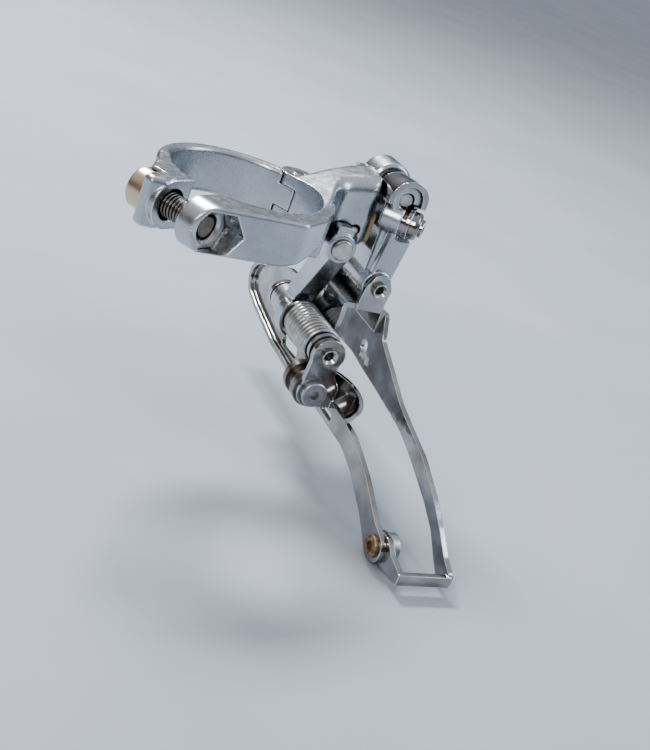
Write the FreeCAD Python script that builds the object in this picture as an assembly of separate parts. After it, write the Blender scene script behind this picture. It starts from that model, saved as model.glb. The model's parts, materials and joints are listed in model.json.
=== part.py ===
import FreeCAD, Part
import os
import math

os.makedirs("parts", exist_ok=True)
V = FreeCAD.Vector

# ---------------------------------------------------------------- driving dimensions (mm)
# Frame: origin at the centre of the clamp bore, +Z up the seat tube, +X outboard, +Y forward.
BORE_R = 15.9            # clamp bore for a 31.8 mm seat tube
BAND_H = 10.0            # height of the clamp
ARM_R = 21.3             # outside of the fixed arm
BAND_R = 18.5            # outside of the hinged band
ARM_BACK = ((-26.0, -21.5), (6.0, -20.4))   # flat rear face of the fixed arm, seen from above

BOLT_TILT = 30.0         # clamp bolt leans this far inboard of straight ahead
BOLT_DIST = 20.3         # bolt axis to bore axis
BOLT_R = 2.5             # M5
EAR_R = 5.0
EAR_HOLE_R = 3.3
NEAR_EAR = (-16.0, -6.2)
FAR_EAR = (0.0, 3.8)
NUT_AF = 8.0
NUT_SPAN = (-9.9, -7.3)
WASHER_SPAN = (3.8, 4.6)
HEAD_SPAN = (4.6, 8.5)
HEAD_R = 4.15

HINGE_ANGLE = 36.0
HINGE_R = 19.6
KNUCKLE_R = 3.5
TONGUE_HALF = 2.3
HINGE_PIN_R = 1.5

A = (26.0, -6.0)         # inner link on the body (x, z)
B = (26.0, -26.0)        # inner link on the cage
D = (37.2, 7.3)          # outer link on the body
C = (37.2, -12.7)        # outer link on the cage
PIN_A_R = 2.0
ARM_HALF = 2.3           # half width of the inner link
PIN_D_R = 1.75
PIN_B_R = 1.8
PIN_C_R = 1.7
RUN = 0.05               # radial running clearance

SHEET = 1.2
IN_X = 30.5              # inboard face of the cage inner plate
OUT_X = 42.6             # outboard face of the cage outer plate at the pivots
FLARE = 1.9              # the outer plate spreads this many degrees towards the tail
BRIDGE_Z = -17.0         # top of the cage bridge
EAR_B_NEAR = (-10.6, -9.4)
EAR_B_FAR = (18.2, 19.4)
EAR_C_NEAR = (-1.4, -0.2)
EAR_C_FAR = (15.6, 16.8)
SPOOL = (25.3, -35.0)    # spring anchor spool (x, z)
TAIL = (-45.2, -49.2)    # tail screw (y, z)

POCKET_R = 5.1           # round pocket of the body above the inner link
HEX_TURN = 30.0
STOP_SIDE = 3.35         # limit screws: beside and above the inner link's axis
STOP_UP = 3.6
SWING = math.radians(36.0)
LOW_LIMIT = (A[0] + STOP_SIDE, A[1] + STOP_UP)
HIGH_LIMIT = (A[0] - STOP_UP * math.sin(SWING) - STOP_SIDE * math.cos(SWING),
              A[1] + STOP_UP * math.cos(SWING) - STOP_SIDE * math.sin(SWING))
LIMITS = (HIGH_LIMIT, LOW_LIMIT)
LIMIT_HEAD_Y = 13.2

SPRING_R = 3.70          # mean coil radius
WIRE_R = 0.60
SPRING_PITCH = 1.31
SPRING_SPAN = (-6.3, 8.0)

E_BASE = V(36.3, 3.5, 2.6)
E_DIR = V(0.788, -0.616, 0).normalize()


# ---------------------------------------------------------------- helpers
def cyl(base, axis, r, length):
    return Part.makeCylinder(r, length, base, axis)


def cyl_y(p, y0, y1, r):
    return cyl(V(p[0], y0, p[1]), V(0, 1, 0), r, y1 - y0)


def cyl_x(p, x0, x1, r):
    return cyl(V(x0, p[0], p[1]), V(1, 0, 0), r, x1 - x0)


def cyl_z(p, z0, z1, r):
    return cyl(V(p[0], p[1], z0), V(0, 0, 1), r, z1 - z0)


def box(x0, x1, y0, y1, z0, z1):
    return Part.makeBox(x1 - x0, y1 - y0, z1 - z0, V(x0, y0, z0))


def join(*shapes):
    out = shapes[0]
    for s in shapes[1:]:
        out = out.fuse(s)
    return out.removeSplitter()


def rounded_face(points, radii):
    """Closed planar face through 3-D points, each corner rounded by its radius."""
    n = len(points)
    starts = []
    ends = []
    mids = []
    for i in range(n):
        p = points[i]
        a = (points[i - 1] - p)
        b = (points[(i + 1) % n] - p)
        la = a.Length
        lb = b.Length
        a.normalize()
        b.normalize()
        half = a.getAngle(b) / 2.0
        t = min(radii[i] / math.tan(half), 0.49 * la, 0.49 * lb)
        r = t * math.tan(half)
        bis = (a + b)
        starts.append(p + a * t)
        ends.append(p + b * t)
        if bis.Length < 1e-4 or t < 1e-3:
            mids.append(None)
            continue
        bis.normalize()
        mids.append(p + bis * (r / math.sin(half) - r))
    edges = []
    for i in range(n):
        if mids[i] is not None:
            edges.append(Part.Arc(starts[i], mids[i], ends[i]).toShape())
        nxt = (i + 1) % n
        if (starts[nxt] - ends[i]).Length > 1e-5:
            edges.append(Part.makeLine(ends[i], starts[nxt]))
    return Part.Face(Part.Wire(edges))


def plate_xz(pts, y0, y1, r=1.0):
    face = rounded_face([V(x, y0, z) for x, z in pts], [r] * len(pts))
    return face.extrude(V(0, y1 - y0, 0))


def plate_yz(pts, x0, x1, r=1.0):
    radii = [p[2] if len(p) > 2 else r for p in pts]
    face = rounded_face([V(x0, p[0], p[1]) for p in pts], radii)
    return face.extrude(V(x1 - x0, 0, 0))


def plate_xy(pts, z0, z1, r=1.0):
    face = rounded_face([V(x, y, z0) for x, y in pts], [r] * len(pts))
    return face.extrude(V(0, 0, z1 - z0))


def sector(r_in, r_out, z0, z1, a0, a1):
    s = Part.makeCylinder(r_out, z1 - z0, V(0, 0, z0), V(0, 0, 1), a1 - a0)
    s.rotate(V(0, 0, 0), V(0, 0, 1), a0)
    return s.cut(Part.makeCylinder(r_in, z1 - z0 + 2, V(0, 0, z0 - 1)))


def hex_prism(base, axis, flats, length, turn=0.0):
    r = flats / math.sqrt(3.0)
    pts = []
    for k in range(7):
        ang = math.radians(60 * k + turn)
        pts.append(V(r * math.cos(ang), r * math.sin(ang), 0))
    solid = Part.Face(Part.makePolygon(pts)).extrude(V(0, 0, length))
    rot = FreeCAD.Rotation(V(0, 0, 1), axis)
    solid.Placement = FreeCAD.Placement(base, rot)
    return solid


def edge_fillet(shape, r, keep):
    edges = [e for e in shape.Edges if keep(e)]
    return shape.makeFillet(r, edges)


def save(name, shape):
    shape.exportStep("parts/" + name + ".step")
    print(name, shape.isValid(), len(shape.Solids), round(shape.Volume, 1))


# ---------------------------------------------------------------- clamp geometry
TILT = math.radians(BOLT_TILT)
BOLT_DIR = V(-math.sin(TILT), math.cos(TILT), 0)
BOLT_OUT = V(-math.cos(TILT), -math.sin(TILT), 0)
BOLT_P0 = BOLT_OUT * BOLT_DIST
HA = math.radians(HINGE_ANGLE)
HINGE = (HINGE_R * math.cos(HA), HINGE_R * math.sin(HA))


def bolt_point(s, out=0.0, z=0.0):
    return BOLT_P0 + BOLT_DIR * s + BOLT_OUT * out + V(0, 0, z)


def bolt_cyl(s0, s1, r):
    return cyl(bolt_point(s0), BOLT_DIR, r, s1 - s0)


def ear_block(s0, s1, inward):
    """Ear round the bolt axis: rounded outer end, square towards the bore."""
    pts = []
    for s, out in ((s0, 0.0), (s1, 0.0), (s1, -inward), (s0, -inward)):
        p = bolt_point(s, out)
        pts.append(V(p.x, p.y, -BAND_H / 2))
    pts.append(pts[0])
    slab = Part.Face(Part.makePolygon(pts)).extrude(V(0, 0, BAND_H))
    return slab.fuse(bolt_cyl(s0, s1, EAR_R))


def bolt_block(s0, s1, out0, out1):
    """Block between two stations along the clamp bolt and two distances out from its axis."""
    pts = []
    for s, out in ((s0, out1), (s0, out0), (s1, out0), (s1, out1)):
        p = bolt_point(s, out)
        pts.append((p.x, p.y))
    return plate_xy(pts, -9, 9, 0.01)


def clamp_band():
    h = BAND_H / 2
    arc = sector(BORE_R, BAND_R, -h, h, HINGE_ANGLE, 196.0)
    back = bolt_point(FAR_EAR[1], EAR_R)
    mid = bolt_point(FAR_EAR[1] - 2.0, EAR_R + 0.3)
    root = bolt_point(FAR_EAR[0], -4.0)
    front = bolt_point(FAR_EAR[0], 3.0)
    a = math.radians(140.0)
    tangent = (BAND_R * math.cos(a), BAND_R * math.sin(a))
    wedge = plate_xy([tangent, (back.x, back.y), (mid.x, mid.y), (front.x, front.y), (root.x, root.y)],
                     -h, h, 0.6)
    body = join(arc, wedge)
    body = edge_fillet(body, 1.0, lambda e: abs(abs(e.CenterOfMass.z) - h) < 1e-3 and e.Length > 12
                       and (e.CenterOfMass.x ** 2 + e.CenterOfMass.y ** 2) ** 0.5 > 12.3)
    body = join(body, ear_block(FAR_EAR[0], FAR_EAR[1], 6.0))
    body = body.cut(cyl_z((0, 0), -20, 20, BORE_R))
    body = body.cut(bolt_cyl(-14.0, FAR_EAR[0], EAR_R + 1.5))
    body = body.cut(bolt_cyl(FAR_EAR[1], 30.0, HEAD_R + 0.2))
    body = body.cut(bolt_block(FAR_EAR[1], 30.0, 0.0, 12.0))
    gap = KNUCKLE_R + 0.55
    for z0, z1 in ((TONGUE_HALF, 8.0), (-8.0, -TONGUE_HALF)):
        body = body.cut(cyl_z(HINGE, z0, z1, gap))
        low = plate_xy([(HINGE[0], HINGE[1] + 8), (HINGE[0] + 9, HINGE[1] + 8), (HINGE[0] + 9, 2), (8, 2)],
                       z0, z1, 0.1)
        body = body.cut(low)
    tongue = join(sector(BORE_R, HINGE_R, -TONGUE_HALF, TONGUE_HALF, 27.5, 52.0),
                  cyl_z(HINGE, -TONGUE_HALF, TONGUE_HALF, KNUCKLE_R))
    body = join(body, tongue)
    body = body.cut(cyl_z(HINGE, -9, 9, HINGE_PIN_R + RUN))
    body = body.cut(bolt_cyl(-14.0, 12.0, EAR_HOLE_R))
    return body


def rounded_section(x, y0, y1, z0, z1, r):
    pts = [V(x, y0, z0), V(x, y1, z0), V(x, y1, z1), V(x, y0, z1)]
    return rounded_face(pts, [r] * 4).OuterWire


def body_mass():
    sections = [(12.6, -11.6, 9.6, -3.1, 4.7, 1.6), (15.5, -7.9, 10.8, -3.2, 5.4, 2.0),
                (18.5, -3.1, 12.0, -4.1, 6.4, 2.6), (21.5, 1.9, 13.2, -5.5, 7.4, 3.0),
                (24.5, 4.3, 14.2, -6.6, 8.2, 3.0), (29.0, 4.3, 15.4, -7.0, 9.2, 3.0),
                (33.0, 5.4, 16.0, -6.6, 9.6, 3.0)]
    return Part.makeLoft([rounded_section(*s) for s in sections], True, False)


def back_y(x):
    (xa, ya), (xb, yb) = ARM_BACK
    return ya + (yb - ya) * (x - xa) / (xb - xa)


def body_casting():
    h = BAND_H / 2
    arc = join(sector(BORE_R, ARM_R, -h, h, 214.0, 312.0), sector(BORE_R, 18.4, -h, h, 300.0, 386.0))
    arm = join(arc, ear_block(NEAR_EAR[0], NEAR_EAR[1], 6.5))
    (xa, ya), (xb, yb) = ARM_BACK
    arm = arm.cut(plate_xy([(xa, ya), (xb, yb), (12.3, -15.0), (16.5, -8.0), (40, -8), (40, -40), (xa, -40)],
                           -20, 20, 2.5))
    arm = arm.cut(bolt_block(NEAR_EAR[1], 20.0, -6.0, 12.0))
    arm = arm.cut(plate_xz([(-26, -9), (-26, -4.3), (3.0, -4.3), (9.5, -2.6), (13.0, -0.4), (30, -0.4),
                            (30, -9)],
                           -40, -10.0, 1.0))
    arm = edge_fillet(arm, 0.6, lambda e: abs(e.CenterOfMass.y - back_y(e.CenterOfMass.x)) < 0.05
                      and e.BoundBox.XLength > 3 and e.BoundBox.XMax < 15.5)
    knuckle = cyl_z(HINGE, -h, h, KNUCKLE_R + 0.3)
    heel = plate_xy([(14, 2), (HINGE[0] + 3.2, HINGE[1] - 3.0), (HINGE[0] + 3.4, HINGE[1] + 1.0),
                     (13.2, 9.0)],
                    -h, h, 0.5)
    neck = box(30.5, D[0], 10.2, 16.0, 2.6, 9.2)
    boss = cyl_y(D, 10.0, 16.0, 5.0)
    boss = boss.makeChamfer(0.6,
                            [e for e in boss.Edges if e.BoundBox.YLength < 1e-3 and e.BoundBox.YMax < 10.1])
    lug = cyl_y(A, 8.6, 14.6, 4.2)
    screw_bosses = [cyl_y(p, 8.6, LIMIT_HEAD_Y, 2.7) for p in LIMITS]
    body = join(arm, knuckle, heel, body_mass(), neck, boss, lug, *screw_bosses)
    body = body.cut(cyl_z((0, 0), -30, 30, BORE_R))
    slot = join(cyl_z(HINGE, -TONGUE_HALF - 0.2, TONGUE_HALF + 0.2, KNUCKLE_R + 0.35),
                sector(BORE_R - 1, HINGE_R + 1.0, -TONGUE_HALF - 0.2, TONGUE_HALF + 0.2, 26.2, 60.0))
    body = body.cut(slot)
    body = body.cut(sector(BORE_R - 1, 40, -9, 9, 62.0, 120.0))
    body = body.cut(cyl_z(HINGE, -9, 9, HINGE_PIN_R))
    body = body.cut(hex_prism(bolt_point(-24), BOLT_DIR, NUT_AF + 0.2, 24 + NUT_SPAN[1] + 0.05, HEX_TURN))
    body = body.cut(bolt_cyl(-12, 0, BOLT_R + 0.25))
    body = body.cut(cyl_y(A, -20, 8.4, POCKET_R))
    body = body.cut(box(A[0] - POCKET_R, A[0] + POCKET_R, -20, 8.4, -20, A[1]))
    body = body.cut(cyl_y(D, -2.0, 9.9, 5.1))
    body = body.cut(cyl_y(A, -20, 14.95, PIN_A_R))
    body = body.cut(cyl_y(D, 0, 20, PIN_D_R))
    for p in LIMITS:
        body = body.cut(cyl_y(p, 4.0, 20.0, 1.3 + RUN))
        body = body.cut(cyl_y(p, LIMIT_HEAD_Y, 22.0, 2.3))
    return body


def limit_screw(p):
    shank = cyl_y(p, 5.4, LIMIT_HEAD_Y, 1.3)
    tip = Part.makeCone(0.6, 1.3, 1.4, V(p[0], 4.0, p[1]), V(0, 1, 0))
    head = cyl_y(p, LIMIT_HEAD_Y + 0.1, LIMIT_HEAD_Y + 2.4, 1.9)
    head = head.fuse(cyl_y(p, LIMIT_HEAD_Y - 0.1, LIMIT_HEAD_Y + 0.2, 1.3))
    head = edge_fillet(head, 0.3, lambda e: abs(e.BoundBox.YMin - (LIMIT_HEAD_Y + 2.4)) < 1e-3)
    screw = join(shank, tip, head)
    y1 = LIMIT_HEAD_Y + 2.4
    screw = screw.cut(box(p[0] - 0.3, p[0] + 0.3, y1 - 1.0, y1 + 1, p[1] - 3, p[1] + 3))
    return screw.cut(box(p[0] - 3, p[0] + 3, y1 - 1.0, y1 + 1, p[1] - 0.3, p[1] + 0.3))


def hinge_pin():
    h = BAND_H / 2
    pin = cyl_z(HINGE, -h - 0.2, h + 0.2, HINGE_PIN_R)
    return pin.makeChamfer(0.25, [e for e in pin.Edges if e.Length > 5 and e.BoundBox.ZLength < 1e-3])


def clamp_nut():
    nut = hex_prism(bolt_point(NUT_SPAN[0]), BOLT_DIR, NUT_AF, NUT_SPAN[1] - NUT_SPAN[0], HEX_TURN)
    nut = nut.cut(bolt_cyl(-20, 0, BOLT_R + RUN))
    cone = Part.makeCone(BOLT_R + 0.7, BOLT_R, 0.7, bolt_point(NUT_SPAN[0] - 0.01), BOLT_DIR)
    return nut.cut(cone)


def clamp_washer():
    w = bolt_cyl(WASHER_SPAN[0], WASHER_SPAN[1], HEAD_R + 0.1)
    return w.cut(bolt_cyl(0, 20, BOLT_R + RUN + 0.1))


def clamp_bolt():
    shank = bolt_cyl(-9.3, HEAD_SPAN[0] + 0.5, BOLT_R)
    head = bolt_cyl(HEAD_SPAN[0] + 0.05, HEAD_SPAN[1], HEAD_R)
    top = bolt_point(HEAD_SPAN[1])
    head = edge_fillet(head, 0.6, lambda e: (e.CenterOfMass - top).Length < 0.1)
    bolt = join(shank, head)
    bolt = bolt.cut(hex_prism(bolt_point(HEAD_SPAN[1] - 2.4), BOLT_DIR, 4.0, 4.0))
    cone = Part.makeCone(BOLT_R - 0.5, BOLT_R + 0.5, 1.0, bolt_point(-9.31), BOLT_DIR)
    ring = bolt_cyl(-9.4, -8.5, BOLT_R + 1).cut(cone)
    return bolt.cut(ring)


def stop_pad():
    pad = plate_yz([(5.6, -5.4), (9.4, -5.4), (9.4, 1.6), (5.6, 1.6)], 33.0, 34.0, 1.0)
    return pad


# ---------------------------------------------------------------- pins
def inner_pivot_pin():
    pin = cyl_y(A, 0.0, 14.9, PIN_A_R)
    head = cyl_y(A, -0.4, 0.42, 2.35)
    head = edge_fillet(head, 0.45, lambda e: abs(e.BoundBox.YMax + 0.4) < 1e-3)
    return join(pin, head)


def outer_pivot_pin():
    pin = cyl_y(D, 1.6, 16.4, PIN_D_R)
    return pin.makeChamfer(0.3, [e for e in pin.Edges if e.BoundBox.YLength < 1e-3 and e.Length > 5])


def hollow_pin(p, y0, y1, r, ring_y):
    pin = cyl_y(p, y0, y1, r)
    pin = pin.cut(cyl_y(p, y0 - 1, y0 + 3.2, r * 0.52))
    cone = Part.makeCone(r * 0.85, r * 0.5, 0.7, V(p[0], y0 - 0.01, p[1]), V(0, 1, 0))
    pin = pin.cut(cone)
    groove = cyl_y(p, ring_y, ring_y + 0.7, r + 1).cut(cyl_y(p, ring_y - 1, ring_y + 2, r - 0.35))
    return pin.cut(groove)


def pin_clips():
    clips = []
    for p, y, r in ((B, EAR_B_FAR[1] + 0.1, PIN_B_R), (C, EAR_C_FAR[1] + 0.1, PIN_C_R)):
        ring = cyl_y(p, y, y + 0.6, r + 1.3).cut(cyl_y(p, y - 1, y + 2, r - 0.33))
        ring = ring.cut(box(p[0] - 0.9, p[0] + 0.9, y - 1, y + 2, p[1] - 6, p[1]))
        clips.append(ring)
    return Part.makeCompound(clips)


# ---------------------------------------------------------------- links
def inner_link():
    arm = plate_yz([(0.8, -5.0), (8.0, -5.0), (8.0, -9.6), (13.4, -21.0), (13.4, -27.0), (8.9, -27.0),
                    (8.9, -22.4),
                    (0.8, -8.8)], A[0] - ARM_HALF, A[0] + ARM_HALF, 0.8)
    boss_a = cyl_y(A, 0.5, 8.2, 3.45)
    boss_a = edge_fillet(boss_a, 0.5, lambda e: e.BoundBox.YMax < 0.51)
    nose = plate_xz([(A[0] - 1.9, A[1]), (A[0] + 1.9, A[1]), (A[0] + 1.9, A[1] + 4.8),
                     (A[0] - 1.9, A[1] + 4.8)],
                    1.2, 7.8, 0.9)
    boss_b = cyl_y(B, 8.9, 13.4, 4.2)
    boss_b = join(boss_b, cyl_y(B, 13.0, 17.6, 3.5))
    cup = cyl_y(B, 6.4, 9.5, 5.5).cut(cyl_y(B, 0, 8.9, 4.6))
    cup = cup.common(plate_xz([(B[0] - 9, B[1] + 3.4), (B[0] - 0.5, B[1] + 3.4), (B[0] - 2.4, B[1] - 4.8),
                               (B[0] - 9, B[1] - 5.0)], 0, 20, 0.1))
    link = join(arm, boss_a, nose, boss_b, cup)
    link = link.cut(cyl_y(A, -5, 20, PIN_A_R + RUN))
    return link.cut(cyl_y(B, 0, 20, 2.6))


def inner_link_bush():
    return cyl_y(B, 8.9, 17.6, 2.6).cut(cyl_y(B, 0, 20, PIN_B_R + RUN))


def e_cyl(s0, s1, r):
    return cyl(E_BASE + E_DIR * s0, E_DIR, r, s1 - s0)


def outer_link():
    boss_d = cyl_y(D, 1.2, 9.6, 3.3)
    sleeve = cyl_y(C, 0.2, 15.2, 3.4)
    web = plate_yz([(2.4, 6.0), (9.4, 6.0), (9.4, 1.4), (15.0, -7.0), (15.0, -13.0),
                    (2.4, -13.0)], 34.7, 39.6, 1.2)
    web = edge_fillet(web, 1.0, lambda e: e.BoundBox.YMax < 2.41 and e.Length > 10)
    rib = plate_xz([(36.4, 4.6), (41.0, 3.6), (41.6, -1.6), (40.1, -12.4), (37.2, -15.2), (35.0, -12.0),
                    (36.1, -2.0)], 0.4, 3.4, 1.4)
    rib = edge_fillet(rib, 0.5, lambda e: e.BoundBox.YMax < 0.41)
    link = join(boss_d, sleeve, web, rib, e_cyl(-1.6, 2.6, 3.6))
    link = link.cut(e_cyl(2.6, 20.0, 4.3))
    link = link.cut(cyl_y(D, 0, 20, PIN_D_R + RUN))
    link = link.cut(cyl_y(C, -5, 20, 2.5))
    link = link.cut(e_cyl(-2.2, 10.0, 2.5 + RUN))
    scoop = cyl_y((31.6, -3.4), 3.6, 20.0, 4.0)
    return link.cut(scoop).cut(cable_saddle())


def outer_link_bushes():
    both = []
    for y0, y1 in ((0.2, 5.2), (10.2, 15.2)):
        both.append(cyl_y(C, y0, y1, 2.5).cut(cyl_y(C, -5, 20, PIN_C_R + RUN)))
    return Part.makeCompound(both)


def cable_saddle():
    cone = Part.makeCone(4.7, 4.0, 8.0, V(D[0], 0.4, D[1]), V(0, 1, 0))
    shell = cone.cut(cyl_y(D, 0, 10, 3.42))
    shell = shell.cut(plate_xz([(D[0] - 9, D[1] - 1.0), (D[0] + 0.6, D[1] - 1.0), (D[0] + 2.6, D[1] - 9),
                                (D[0] - 9, D[1] - 9)], -2, 12, 0.1))
    side = V(-E_DIR.y, E_DIR.x, 0)
    p = E_BASE + E_DIR * 2.65
    corners = [p + side * 2.6, p - side * 2.6, p - side * 2.6 + V(0, 0, 3.4), p + side * 1.6 + V(0, 0, 3.4)]
    strap = Part.Face(Part.makePolygon(corners + [corners[0]])).extrude(E_DIR * 1.0)
    plate = join(shell, e_cyl(2.65, 3.65, 3.4), strap)
    plate = plate.cut(cyl_y(D, -5, 10, 3.42))
    shell_room = e_cyl(3.7, 20.0, 3.9)
    return plate.cut(e_cyl(0, 12.0, 2.6)).cut(shell_room)


def cable_washer():
    return e_cyl(3.7, 4.6, 3.5).cut(e_cyl(0, 12.0, 2.6))


def cable_bolt():
    head = e_cyl(4.65, 6.6, 3.1)
    top = E_BASE + E_DIR * 6.6
    head = edge_fillet(head, 0.9, lambda e: (e.CenterOfMass - top).Length < 0.1)
    bolt = join(e_cyl(-1.3, 5.0, 2.45), head, e_cyl(6.0, 7.4, 2.0))
    return bolt.cut(hex_prism(E_BASE + E_DIR * 5.2, E_DIR, 2.5, 4.0))


# ---------------------------------------------------------------- cage
INNER_PROFILE = [(-0.9, BRIDGE_Z, 0.3), (17.0, BRIDGE_Z, 0.5), (20.0, -22.2, 2.5), (29.0, -23.2, 12.0),
                 (37.6, -25.6, 12.0), (44.5, -28.3, 5.0), (47.8, -32.5, 4.0), (44.6, -37.0, 4.5),
                 (38.0, -38.7, 12.0),
                 (24.0, -40.9, 20.0), (10.0, -41.5, 20.0), (-12.0, -41.5, 20.0), (-20.8, -41.4, 12.0),
                 (-27.6, -43.2, 10.0), (-36.2, -47.3, 12.0), (-40.2, -50.0, 3.0), (-43.6, -52.6, 3.0),
                 (-48.5, -51.8, 3.2), (-48.4, -46.7, 3.2), (-43.1, -45.3, 3.0), (-39.2, -43.3, 6.0),
                 (-34.2, -40.6, 10.0), (-29.5, -38.9, 10.0), (-23.5, -37.1, 6.0), (-20.4, -36.8, 1.0),
                 (-7.0, -36.4, 0.6), (-6.6, -31.8, 1.5), (-2.6, -30.2, 1.5), (-0.9, -26.6, 1.0)]

OUTER_PROFILE = [(-1.0, -18.4, 0.8), (17.0, -18.4, 1.5), (31.0, -20.6, 12.0), (43.5, -25.0, 5.0),
                 (48.6, -30.2, 3.0),
                 (44.0, -35.0, 4.0), (28.0, -33.2, 12.0), (7.0, -32.0, 12.0), (-8.5, -33.6, 20.0),
                 (-22.1, -35.4, 15.0), (-29.6, -38.0, 12.0), (-38.7, -41.8, 12.0), (-44.5, -45.0, 8.0),
                 (-49.1, -49.2, 5.0), (-51.6, -51.2, 1.2), (-55.3, -51.0, 1.0), (-55.3, -48.4, 1.6),
                 (-51.5, -46.5, 3.0), (-46.7, -42.9, 8.0), (-41.3, -39.4, 12.0), (-32.9, -35.2, 12.0),
                 (-24.7, -32.9, 12.0), (-18.0, -30.8, 12.0), (-11.1, -27.3, 8.0), (-3.6, -23.8, 3.0)]


def nose_lip():
    """Turned-in edge round the nose and the front half of the lower edge."""
    outer = plate_yz(INNER_PROFILE, IN_X - 1.2, IN_X + 0.3)
    inset = [(-0.9, -18.0, 0.3), (17.0, -18.0, 0.5), (20.0, -23.4, 2.5), (29.0, -24.4, 12.0),
             (37.3, -26.8, 12.0),
             (43.8, -29.4, 4.2), (46.5, -32.7, 3.2), (43.9, -36.0, 3.7), (37.6, -37.5, 12.0),
             (23.8, -39.7, 20.0),
             (10.0, -40.3, 20.0), (-12.0, -40.3, 20.0), (-60.0, -40.3, 1.0), (-60.0, -18.0, 1.0)]
    lip = outer.cut(plate_yz(inset, IN_X - 5.0, IN_X + 5.0))
    return lip.common(box(20, 40, 6.0, 60, -60, -27.6))


def ear_c(span):
    pts = [(33.4, BRIDGE_Z - 0.6), (39.8, BRIDGE_Z - 0.6), (C[0] + 3.2, C[1] + 0.2), (C[0] + 1.5, C[1] + 3.2),
           (C[0] - 1.5, C[1] + 3.2), (C[0] - 3.2, C[1] + 0.2)]
    return plate_xz(pts, span[0], span[1], 1.3)


def near_ear_b():
    y0, y1 = EAR_B_NEAR
    neck = plate_xz([(B[0] - 3.3, B[1] + 1.0), (B[0] + 3.5, B[1] + 1.0), (29.0, -30.4), (IN_X + 0.5, -33.2),
                     (IN_X + 0.5, -38.2), (SPOOL[0], SPOOL[1] - 3.5),
                     (SPOOL[0] - 3.3, SPOOL[1] - 1.0)], y0, y1, 0.5)
    return join(cyl_y(B, y0, y1, 3.8), cyl_y(SPOOL, y0, y1, 3.6), neck)


def far_ear_b():
    y0, y1 = EAR_B_FAR
    arm = box(B[0], IN_X + 0.5, y0, y1, B[1] - 3.6, B[1] + 2.6)
    return join(cyl_y(B, y0, y1, 3.6), arm)


def guide_lip():
    """Spoon-shaped lip pressed outboard from the edge of the plate behind the pivots."""
    centre = V(IN_X - 5.7, -14.0, -30.0)
    shell = Part.makeSphere(10.5, centre).cut(Part.makeSphere(10.5 - 0.9, centre))
    keep = box(IN_X + 0.3, IN_X + 12.0, -24.0, -5.0, -60.0, -32.4)
    keep.rotate(V(IN_X, -14.0, -32.4), V(1, 0, 0), 9.0)
    return shell.common(keep).cut(box(IN_X, IN_X + 12.0, -30.0, 0.0, -60.0, -38.6))


def cage_inner_plate():
    plate = plate_yz(INNER_PROFILE, IN_X, IN_X + SHEET)
    bridge = box(IN_X, OUT_X - SHEET, -0.9, 17.0, BRIDGE_Z - SHEET, BRIDGE_Z)
    flange = box(OUT_X - 2 * SHEET, OUT_X - SHEET, -0.9, 17.0, BRIDGE_Z - 6.0, BRIDGE_Z)
    channel = join(plate, bridge, flange)
    channel = edge_fillet(channel, 1.1, lambda e: e.BoundBox.YLength > 16 and e.BoundBox.ZMin > BRIDGE_Z - 0.01
                          and e.BoundBox.ZLength < 1e-3)
    ears = (ear_c(EAR_C_NEAR), ear_c(EAR_C_FAR), near_ear_b(), far_ear_b())
    body = join(channel, nose_lip(), *ears, guide_lip())
    tie = box(33.6, 39.6, EAR_C_NEAR[0], 0.5, BRIDGE_Z - SHEET, BRIDGE_Z - 0.05)
    body = join(body, tie)
    body = body.cut(cyl_y(B, -20, 30, PIN_B_R))
    body = body.cut(cyl_y(C, -20, 30, PIN_C_R))
    body = body.cut(cyl_y(SPOOL, -20, -5, 1.5))
    slot = join(cyl_x((19.0, -37.7), 25, 35, 1.4), cyl_x((12.4, -37.3), 25, 35, 1.4),
                plate_yz([(19.0, -39.1), (12.4, -38.7), (12.4, -35.9), (19.0, -36.3)], 25, 35, 0.01))
    body = body.cut(slot)
    small = join(cyl_x((-7.4, -39.4), 25, 35, 0.8), cyl_x((-12.4, -39.6), 25, 35, 0.8),
                 box(25, 35, -12.4, -7.4, -40.3, -38.7))
    body = body.cut(small)
    return body.cut(cyl_x(TAIL, 25, 40, 1.5))


def cage_outer_plate():
    """Outer plate, flared about the pivots, with its tail folded back to the inner plate."""
    plate = plate_yz(OUTER_PROFILE, OUT_X - SHEET, OUT_X)
    plate = plate.cut(cyl_x((2.6, -28.4), 30, 50, 1.5))
    plate.rotate(V(OUT_X - SHEET, 0, 0), V(0, 0, 1), FLARE)
    plate = plate.cut(box(30, OUT_X - SHEET, -1.5, 60, -60, 0))
    end = plate.BoundBox.XMax
    x0 = IN_X + SHEET
    wall = box(x0, end - 0.4, -55.3, -55.3 + SHEET, -51.0, -48.6)
    lug = plate_yz([(-55.3, -51.0, 0.8), (-55.3, -48.6, 0.8), (-50.4, -47.6, 0.8), (-47.8, -45.8, 2.4),
                    (-42.0, -46.0, 2.8),
                    (-42.0, -52.4, 2.8), (-48.5, -52.3, 1.5)], x0, x0 + SHEET)
    body = join(plate, wall, lug)
    return body.cut(cyl_x(TAIL, 25, 40, 1.5))


def tail_screw():
    shank = cyl_x(TAIL, IN_X - 0.3, IN_X + 2 * SHEET + 2.4, 1.5)
    head = cyl_x(TAIL, IN_X - 0.8, IN_X, 2.3)
    head = edge_fillet(head, 0.4, lambda e: abs(e.BoundBox.XMax - IN_X + 0.8) < 1e-3)
    screw = join(shank, head)
    return screw.cut(hex_prism(V(IN_X - 2.0, TAIL[0], TAIL[1]), V(1, 0, 0), 2.0, 2.2))


def tail_nut():
    x0 = IN_X + 2 * SHEET
    nut = cyl_x(TAIL, x0, x0 + 2.6, 3.1)
    nut = edge_fillet(nut, 0.6, lambda e: abs(e.BoundBox.XMin - x0 - 2.6) < 1e-3)
    return nut.cut(cyl_x(TAIL, x0 - 1, x0 + 5, 1.5))


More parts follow.
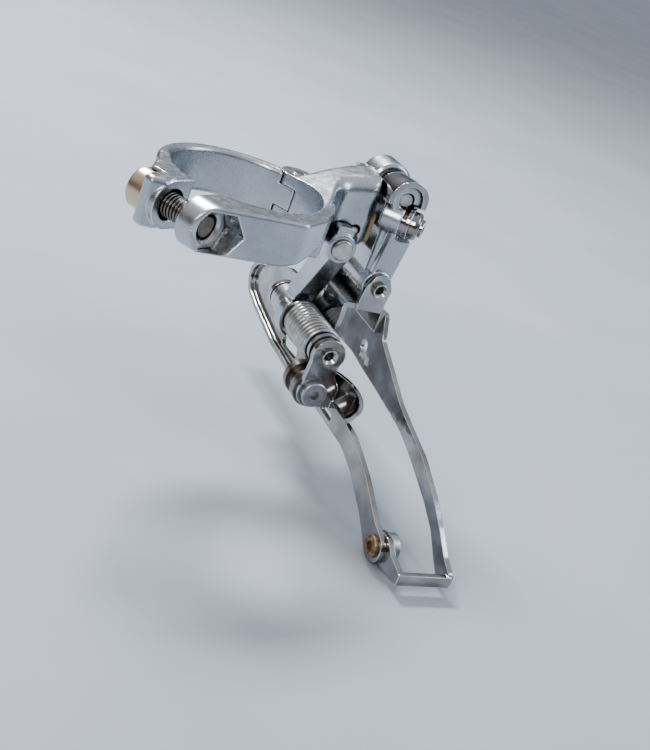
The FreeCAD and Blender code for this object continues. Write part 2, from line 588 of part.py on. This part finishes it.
# ---------------------------------------------------------------- spring and its anchor
def return_spring():
    y0, y1 = SPRING_SPAN
    helix = Part.makeHelix(SPRING_PITCH, y1 - y0, SPRING_R, 0, True)
    path = Part.Wire(helix.Edges)
    ring = Part.Wire(Part.makeCircle(WIRE_R, V(SPRING_R, 0, 0), V(0, 1, 0)))
    coil = path.makePipeShell([ring], True, True)
    coil.rotate(V(0, 0, 0), V(1, 0, 0), -90)
    coil.translate(V(B[0], y0, B[1]))
    leg = cyl(V(B[0] + SPRING_R, y0, B[1] + 0.2), V(0, 0, -1), WIRE_R, 11.6)
    return coil.fuse(leg)


def spring_sleeve():
    y0 = EAR_B_NEAR[1] + 0.02
    tube = cyl_y(B, y0, 8.8, 2.9)
    flange = cyl_y(B, -8.0, -7.0, 3.7)
    collar = cyl_y(B, y0, -8.6, 3.3)
    return join(tube, flange, collar).cut(cyl_y(B, -20, 20, PIN_B_R))


def anchor_spool():
    y0, y1 = EAR_B_NEAR[1] + 0.02, -3.0
    spool = cyl_y(SPOOL, y0, y1, 4.1)
    groove = cyl_y(SPOOL, -7.4, -4.6, 6.0).cut(cyl_y(SPOOL, -9, -3, 2.9))
    return spool.cut(groove).cut(cyl_y(SPOOL, -20, 0, 1.5))


def anchor_screw():
    y0 = EAR_B_NEAR[0]
    shank = cyl_y(SPOOL, y0 - 0.3, -3.6, 1.5)
    head = cyl_y(SPOOL, y0 - 1.5, y0, 2.9)
    head = edge_fillet(head, 0.35, lambda e: abs(e.BoundBox.YMax - y0 + 1.5) < 1e-3)
    screw = join(shank, head)
    return screw.cut(hex_prism(V(SPOOL[0], y0 - 2.5, SPOOL[1]), V(0, 1, 0), 2.0, 2.1))


# ---------------------------------------------------------------- write every node
save("body_casting", body_casting())
save("clamp_band", clamp_band())
save("hinge_pin", hinge_pin())
save("clamp_nut", clamp_nut())
save("clamp_washer", clamp_washer())
save("clamp_bolt", clamp_bolt())
save("stop_pad", stop_pad())
save("low_limit_screw", limit_screw(LIMITS[1]))
save("high_limit_screw", limit_screw(LIMITS[0]))
save("inner_pivot_pin", inner_pivot_pin())
save("outer_pivot_pin", outer_pivot_pin())
save("cage_inner_pin", hollow_pin(B, -11.4, 20.7, PIN_B_R, EAR_B_FAR[1] + 0.05))
save("cage_outer_pin", hollow_pin(C, -2.5, 18.1, PIN_C_R, EAR_C_FAR[1] + 0.05))
save("pin_clips", pin_clips())
save("inner_link", inner_link())
save("inner_link_bush", inner_link_bush())
save("outer_link", outer_link())
save("outer_link_bushes", outer_link_bushes())
save("cable_saddle", cable_saddle())
save("cable_washer", cable_washer())
save("cable_bolt", cable_bolt())
save("cage_inner_plate", cage_inner_plate())
save("cage_outer_plate", cage_outer_plate())
save("tail_screw", tail_screw())
save("tail_nut", tail_nut())
save("return_spring", return_spring())
save("spring_sleeve", spring_sleeve())
save("anchor_spool", anchor_spool())
save("anchor_screw", anchor_screw())
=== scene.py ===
import bpy, bmesh, json, math
from mathutils import Matrix, Vector


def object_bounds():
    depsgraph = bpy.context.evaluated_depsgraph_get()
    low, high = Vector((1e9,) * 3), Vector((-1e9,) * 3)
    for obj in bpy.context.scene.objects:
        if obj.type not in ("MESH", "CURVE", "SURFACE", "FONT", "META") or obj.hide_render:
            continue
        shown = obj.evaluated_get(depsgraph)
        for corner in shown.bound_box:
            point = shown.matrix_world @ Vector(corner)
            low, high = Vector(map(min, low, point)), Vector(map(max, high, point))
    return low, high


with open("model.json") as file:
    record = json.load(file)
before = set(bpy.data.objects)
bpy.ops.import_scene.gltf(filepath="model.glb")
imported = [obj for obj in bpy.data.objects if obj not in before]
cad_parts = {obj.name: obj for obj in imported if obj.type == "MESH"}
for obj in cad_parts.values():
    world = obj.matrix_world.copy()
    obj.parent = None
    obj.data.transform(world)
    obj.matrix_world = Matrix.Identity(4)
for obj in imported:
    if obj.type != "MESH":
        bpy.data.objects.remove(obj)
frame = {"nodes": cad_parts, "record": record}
cad_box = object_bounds()
nodes = frame["nodes"]


def rgb(r, g, b):
    return (r, g, b, 1.0)


class Nodes:
    """A small builder for one node material."""

    def __init__(self, name, metallic, roughness, base):
        self.mat = bpy.data.materials.new(name)
        self.mat.use_nodes = True
        self.tree = self.mat.node_tree
        self.bsdf = self.tree.nodes["Principled BSDF"]
        self.bsdf.inputs["Metallic"].default_value = metallic
        self.bsdf.inputs["Roughness"].default_value = roughness
        self.bsdf.inputs["Base Color"].default_value = rgb(*base)
        self.coord = self.tree.nodes.new("ShaderNodeTexCoord").outputs["Object"]

    def add(self, kind, **props):
        node = self.tree.nodes.new(kind)
        for key, value in props.items():
            setattr(node, key, value)
        return node

    def link(self, a, b):
        self.tree.links.new(a, b)

    def noise(self, scale, detail=3.0, rough=0.55, stretch=None, distortion=0.0):
        node = self.add("ShaderNodeTexNoise")
        node.inputs["Scale"].default_value = scale
        node.inputs["Detail"].default_value = detail
        node.inputs["Roughness"].default_value = rough
        node.inputs["Distortion"].default_value = distortion
        source = self.coord
        if stretch:
            mapping = self.add("ShaderNodeMapping")
            mapping.inputs["Scale"].default_value = stretch
            self.link(self.coord, mapping.inputs["Vector"])
            source = mapping.outputs["Vector"]
        self.link(source, node.inputs["Vector"])
        return node.outputs["Fac"]

    def ramp(self, fac, stops):
        node = self.add("ShaderNodeValToRGB")
        ramp = node.color_ramp
        while len(ramp.elements) < len(stops):
            ramp.elements.new(0.5)
        for el, (pos, col) in zip(ramp.elements, stops):
            el.position = pos
            el.color = col if len(col) == 4 else (*col, 1.0)
        self.link(fac, node.inputs["Fac"])
        return node.outputs["Color"]

    def mix(self, fac, a, b, mode="MIX"):
        node = self.add("ShaderNodeMix", data_type="RGBA", blend_type=mode)
        if isinstance(fac, float):
            node.inputs["Factor"].default_value = fac
        else:
            self.link(fac, node.inputs["Factor"])
        for sock, val in (("A", a), ("B", b)):
            target = [s for s in node.inputs if s.name == sock and s.type == "RGBA"][0]
            if isinstance(val, tuple):
                target.default_value = val
            else:
                self.link(val, target)
        return [s for s in node.outputs if s.type == "RGBA"][0]

    def value_range(self, fac, lo, hi, f0=0.0, f1=1.0):
        node = self.add("ShaderNodeMapRange")
        node.inputs["From Min"].default_value = f0
        node.inputs["From Max"].default_value = f1
        node.inputs["To Min"].default_value = lo
        node.inputs["To Max"].default_value = hi
        self.link(fac, node.inputs["Value"])
        return node.outputs["Result"]

    def bevel(self, radius):
        node = self.add("ShaderNodeBevel", samples=6)
        node.inputs["Radius"].default_value = radius
        return node.outputs["Normal"]

    def edge(self, rounded):
        """Mask for painted highlights: 1 along sharp edges, 0 on open faces, from how far the rounded
        normal turns away.
        """
        geo = self.add("ShaderNodeNewGeometry")
        turn = self.vector("DOT_PRODUCT", rounded, geo.outputs["Normal"])
        return self.value_range(turn, 1.0, 0.0, 0.86, 0.995)

    def crevice_shade_and_grime(self, color, distance, shade_grime_colour):
        """Colour darkened where surfaces face each other closely: painted shade in recesses, also
        standing for grime.
        """
        node = self.add("ShaderNodeAmbientOcclusion", samples=6)
        node.inputs["Distance"].default_value = distance
        fac = self.value_range(node.outputs["AO"], 1.0, 0.0, 0.25, 0.75)
        return self.mix(fac, color, shade_grime_colour)

    def math(self, operation, a, b=None):
        node = self.add("ShaderNodeMath", operation=operation)
        for sock, val in zip(node.inputs, (a, b)):
            if val is None:
                continue
            if isinstance(val, (int, float)):
                sock.default_value = val
            else:
                self.link(val, sock)
        return node.outputs["Value"]

    def vector(self, operation, a, b):
        node = self.add("ShaderNodeVectorMath", operation=operation)
        for sock, val in zip(node.inputs, (a, b)):
            if isinstance(val, tuple):
                sock.default_value = val
            elif val is not None:
                self.link(val, sock)
        return node.outputs["Value" if operation in ("DOT_PRODUCT", "LENGTH") else "Vector"]

    def bump(self, fac, strength, distance, under=None):
        node = self.add("ShaderNodeBump")
        node.inputs["Strength"].default_value = strength
        node.inputs["Distance"].default_value = distance
        self.link(fac, node.inputs["Height"])
        if under:
            self.link(under, node.inputs["Normal"])
        self.link(node.outputs["Normal"], self.bsdf.inputs["Normal"])

    def along(self, origin, axis):
        """Distance along an axis and distance from it, in metres."""
        rel = self.vector("SUBTRACT", self.coord, origin)
        s = self.vector("DOT_PRODUCT", rel, axis)
        length = self.vector("LENGTH", rel, None)
        away = self.math("SQRT", self.math("SUBTRACT", self.math("MULTIPLY", length, length),
                                           self.math("MULTIPLY", s, s)))
        return s, away


# clamp bolt: its axis lies BOLT_DIST from the bore's centre, in metres, turned by BOLT_TILT
BOLT_TILT = math.radians(30.0)
BOLT_DIST = 0.0203
BOLT_AXIS = (-math.sin(BOLT_TILT), math.cos(BOLT_TILT), 0.0)
BOLT_ORIGIN = (-BOLT_DIST * math.cos(BOLT_TILT), -BOLT_DIST * math.sin(BOLT_TILT), 0.0)
THREAD_PITCH = 0.0008
# colour of painted shade in recesses between parts, also standing for grime
CREVICE_SHADE_AND_GRIME = (0.07, 0.065, 0.06, 1.0)


def satin():
    m = Nodes("satin_alloy", 1.0, 0.34, (0.50, 0.53, 0.57))
    rounded = m.bevel(0.0006)
    edge = m.edge(rounded)
    cloud = m.ramp(m.noise(70.0, 4.0), [(0.3, (0.38, 0.41, 0.45)), (0.7, (0.54, 0.57, 0.61))])
    specks = m.ramp(m.noise(2600.0, 2.0), [(0.30, (0.35, 0.33, 0.30)), (0.38, (1.0, 1.0, 1.0))])
    worn = m.mix(0.35, cloud, specks, "MULTIPLY")
    # painted shade in recesses, mixed with grime
    shaded_and_dirty = m.crevice_shade_and_grime(worn, 0.0022, rgb(0.10, 0.095, 0.09))
    # painted highlight: base colour brightened to near-white along edges
    m.link(m.mix(edge, shaded_and_dirty, rgb(0.86, 0.88, 0.90)), m.bsdf.inputs["Base Color"])
    m.link(m.value_range(m.noise(600.0, 4.0), 0.20, 0.32, 0.3, 0.7), m.bsdf.inputs["Roughness"])
    m.bump(m.noise(4200.0, 3.0), 0.06, 0.00004, rounded)
    return m.mat


def chrome():
    m = Nodes("chrome_steel", 1.0, 0.12, (0.50, 0.49, 0.48))
    rounded = m.bevel(0.0003)
    edge = m.edge(rounded)
    tone = m.ramp(m.noise(120.0, 5.0),
                  [(0.30, (0.22, 0.20, 0.18)), (0.52, (0.36, 0.36, 0.37)), (0.74, (0.52, 0.53, 0.56))])
    spots = m.ramp(m.noise(1500.0, 3.0, 0.7), [(0.27, (0.32, 0.23, 0.14)), (0.34, (1.0, 1.0, 1.0))])
    worn = m.mix(0.6, tone, spots, "MULTIPLY")
    # painted shade in recesses, mixed with grime
    shaded_and_dirty = m.crevice_shade_and_grime(worn, 0.0020, rgb(0.09, 0.08, 0.07))
    # painted highlight: base colour brightened to near-white along edges
    m.link(m.mix(edge, shaded_and_dirty, rgb(0.88, 0.88, 0.87)), m.bsdf.inputs["Base Color"])
    m.link(m.value_range(m.noise(260.0, 5.0), 0.05, 0.20, 0.35, 0.7), m.bsdf.inputs["Roughness"])
    m.bump(m.noise(240.0, 3.0), 0.22, 0.0003, rounded)
    return m.mat


def steel(name, base, rough, scale=700.0, rounding=0.0002, grain=0.12):
    m = Nodes(name, 1.0, rough, base)
    rounded = m.bevel(rounding)
    dark = tuple(c * 0.62 for c in base)
    tone = m.ramp(m.noise(scale), [(0.3, dark), (0.65, base)])
    # painted shade in recesses, mixed with grime
    shaded_and_dirty = m.crevice_shade_and_grime(tone, 0.0012, CREVICE_SHADE_AND_GRIME)
    m.link(shaded_and_dirty, m.bsdf.inputs["Base Color"])
    m.link(m.value_range(m.noise(scale * 2), rough * 0.75, rough * 1.3), m.bsdf.inputs["Roughness"])
    m.bump(m.noise(scale * 5), grain, 0.00004, rounded)
    return m.mat


def threaded(name, base, head, rough, shank_r):
    """Steel that shows a thread wherever the surface lies within shank_r of the clamp bolt's axis."""
    m = Nodes(name, 1.0, rough, base)
    s, away = m.along(BOLT_ORIGIN, BOLT_AXIS)
    on_thread = m.math("LESS_THAN", away, shank_r)
    wave = m.math("SINE", m.math("MULTIPLY", s, 2 * math.pi / THREAD_PITCH))
    wave = m.math("MULTIPLY", wave, on_thread)
    # painted shade: colour darkened in the thread grooves, following the sine of the thread
    thread_groove_shade = m.value_range(wave, 0.45, 1.0, -1.0, 0.2)
    grime = m.ramp(m.noise(900.0, 3.0), [(0.3, tuple(c * 0.6 for c in base)), (0.7, base)])
    node = m.add("ShaderNodeCombineColor")
    for k in range(3):
        m.link(thread_groove_shade, node.inputs[k])
    # away from the thread the head colour is used; on the clamp bolt that is a painted warm reflection
    head_and_thread_colour = m.mix(on_thread, rgb(*head), m.mix(1.0, grime, node.outputs["Color"], "MULTIPLY"))
    # painted shade in recesses, mixed with grime
    m.link(m.crevice_shade_and_grime(head_and_thread_colour, 0.0012, CREVICE_SHADE_AND_GRIME), m.bsdf.inputs["Base Color"])
    m.link(m.value_range(m.noise(1400.0), rough * 0.8, rough * 1.3), m.bsdf.inputs["Roughness"])
    m.bump(wave, 0.7, 0.00025, m.bevel(0.0002))
    return m.mat


def spool():
    m = Nodes("spool_steel", 1.0, 0.3, (0.30, 0.28, 0.26))
    tone = m.ramp(m.noise(400.0, 4.0), [(0.3, (0.10, 0.08, 0.07)), (0.7, (0.36, 0.33, 0.30))])
    m.link(tone, m.bsdf.inputs["Base Color"])
    m.bump(m.noise(2500.0), 0.15, 0.00005, m.bevel(0.0002))
    return m.mat


def rusty():
    m = Nodes("rusty_screw", 0.8, 0.4, (0.30, 0.20, 0.12))
    tone = m.ramp(m.noise(900.0, 4.0),
                  [(0.35, (0.16, 0.08, 0.03)), (0.6, (0.34, 0.24, 0.15)), (0.8, (0.50, 0.46, 0.42))])
    m.link(tone, m.bsdf.inputs["Base Color"])
    m.link(m.value_range(m.noise(1500.0), 0.25, 0.6), m.bsdf.inputs["Roughness"])
    m.bump(m.noise(3000.0), 0.3, 0.00006, m.bevel(0.0002))
    return m.mat


def nylon():
    m = Nodes("nylon", 0.0, 0.45, (0.42, 0.30, 0.12))
    tone = m.ramp(m.noise(500.0), [(0.3, (0.26, 0.18, 0.06)), (0.7, (0.46, 0.36, 0.17))])
    m.link(tone, m.bsdf.inputs["Base Color"])
    m.bump(m.noise(1500.0), 0.2, 0.0001, m.bevel(0.0003))
    return m.mat


MATS = {
    "satin_alloy": satin(),
    "chrome_steel": chrome(),
    "pin_steel": steel("pin_steel", (0.60, 0.59, 0.57), 0.20),
    "zinc_steel": steel("zinc_steel", (0.58, 0.60, 0.62), 0.30),
    "spring_steel": steel("spring_steel", (0.58, 0.58, 0.57), 0.30, rounding=0.00005, grain=0.02),
    "dark_steel": steel("dark_steel", (0.16, 0.15, 0.14), 0.40),
    "nylon": nylon(),
}
SPECIAL = {
    # clamp bolt head: the golden colour is a painted warm reflection on plain steel
    "clamp_bolt": threaded("bolt_steel", (0.30, 0.27, 0.24), (0.62, 0.49, 0.33), 0.24, 0.00262),
    "clamp_nut": threaded("nut_steel", (0.40, 0.40, 0.39), (0.56, 0.57, 0.56), 0.30, 0.0027),
    "anchor_spool": spool(),
    "tail_screw": rusty(),
}
for sub in frame["record"]["subparts"]:
    obj = nodes[sub["node"]]
    for slot in obj.material_slots:
        slot.material = SPECIAL.get(sub["node"], MATS[sub["material_slot"]])

# ---------------------------------------------------------------- floor, light, camera
lo, hi = cad_box
FLOOR_HALF = 4.0
FLOOR_GAP = 0.0005
mesh = bpy.data.meshes.new("floor")
bm = bmesh.new()
bmesh.ops.create_grid(bm, x_segments=1, y_segments=1, size=FLOOR_HALF)
bm.to_mesh(mesh)
bm.free()
floor = bpy.data.objects.new("floor", mesh)
bpy.context.scene.collection.objects.link(floor)
floor.location = (0, 0, lo[2] - FLOOR_GAP)
fm = Nodes("floor_paper", 0.0, 0.75, (0.36, 0.40, 0.46))
paper = fm.ramp(fm.noise(14.0, 4.0), [(0.3, (0.34, 0.38, 0.44)), (0.7, (0.39, 0.43, 0.49))])
fm.link(paper, fm.bsdf.inputs["Base Color"])
floor.data.materials.append(fm.mat)


def area(name, loc, target, size, power, color):
    data = bpy.data.lights.new(name, "AREA")
    data.shape = "RECTANGLE"
    data.size, data.size_y = size
    data.energy = power
    data.color = color
    obj = bpy.data.objects.new(name, data)
    bpy.context.scene.collection.objects.link(obj)
    obj.location = loc
    obj.rotation_euler = (Vector(target) - Vector(loc)).to_track_quat("-Z", "Y").to_euler()
    return obj


mid = (0.02, 0.0, -0.02)
area("key", (-0.05, 0.45, 0.50), mid, (0.24, 0.10), 9.0, (1.0, 0.99, 0.97))
area("fill", (0.50, -0.20, 0.30), mid, (0.25, 0.35), 1.6, (0.80, 0.90, 1.0))
area("front", (-0.45, -0.45, 0.40), mid, (0.10, 0.30), 2.4, (1.0, 0.98, 0.95))


def studio_world():
    """Soft room: bright cool ceiling, a darker warm band on the left, a cool band on the right."""
    world = bpy.data.worlds.new("studio")
    world.use_nodes = True
    tree = world.node_tree
    coord = tree.nodes.new("ShaderNodeTexCoord")
    split = tree.nodes.new("ShaderNodeSeparateXYZ")
    tree.links.new(coord.outputs["Generated"], split.inputs["Vector"])

    def ramp(source, lo, hi, stops):
        span = tree.nodes.new("ShaderNodeMapRange")
        span.inputs["From Min"].default_value = lo
        span.inputs["From Max"].default_value = hi
        tree.links.new(source, span.inputs["Value"])
        node = tree.nodes.new("ShaderNodeValToRGB")
        while len(node.color_ramp.elements) < len(stops):
            node.color_ramp.elements.new(0.5)
        for el, (pos, col) in zip(node.color_ramp.elements, stops):
            el.position = pos
            el.color = (*col, 1.0)
        tree.links.new(span.outputs["Result"], node.inputs["Fac"])
        return node.outputs["Color"]

    side = ramp(split.outputs["X"], -1.0, 1.0,
                [(0.0, (0.26, 0.21, 0.17)), (0.35, (0.15, 0.125, 0.105)), (0.55, (0.10, 0.11, 0.13)),
                 (0.8, (0.20, 0.25, 0.32)), (1.0, (0.26, 0.32, 0.40))])
    up = ramp(split.outputs["Z"], -0.1, 1.0,
              [(0.0, (0.0, 0.0, 0.0)), (0.30, (0.0, 0.0, 0.0)), (0.55, (0.50, 0.53, 0.58)),
               (1.0, (0.85, 0.88, 0.92))])
    add = tree.nodes.new("ShaderNodeMix")
    add.data_type = "RGBA"
    add.blend_type = "ADD"
    add.inputs["Factor"].default_value = 1.0
    a, b = [s for s in add.inputs if s.type == "RGBA"]
    tree.links.new(side, a)
    tree.links.new(up, b)
    out = [s for s in add.outputs if s.type == "RGBA"][0]
    tree.links.new(out, tree.nodes["Background"].inputs["Color"])
    tree.nodes["Background"].inputs["Strength"].default_value = 0.8
    bpy.context.scene.world = world


studio_world()

# camera fitted to the object's outline: rotation rows, translation in millimetres, lens in pixels
FOCAL_PX = 1200.0
CENTRE_ROW_PX = 374.0
FRAME_HEIGHT_PX = 750.0
SENSOR_MM = 36.0
R0 = Vector((0.8733117, -0.3559551, 0.3324386))
R1 = Vector((0.1221365, -0.5007216, -0.8568979))
R2 = Vector((0.4714666, 0.7890321, -0.3938034))
T = Vector((-16.95073, -34.41916, 240.03786))
eye = -(R0 * T.x + R1 * T.y + R2 * T.z) / 1000.0
cam_data = bpy.data.cameras.new("camera")
cam_data.sensor_width = SENSOR_MM
cam_data.sensor_fit = "AUTO"
cam_data.lens = FOCAL_PX / FRAME_HEIGHT_PX * SENSOR_MM
cam_data.shift_y = (CENTRE_ROW_PX - FRAME_HEIGHT_PX / 2) / FRAME_HEIGHT_PX
cam_data.clip_start = 0.01
cam = bpy.data.objects.new("camera", cam_data)
bpy.context.scene.collection.objects.link(cam)
cam.matrix_world = Matrix((
    (R0.x, -R1.x, -R2.x, eye.x),
    (R0.y, -R1.y, -R2.y, eye.y),
    (R0.z, -R1.z, -R2.z, eye.z),
    (0, 0, 0, 1)))
bpy.context.scene.camera = cam
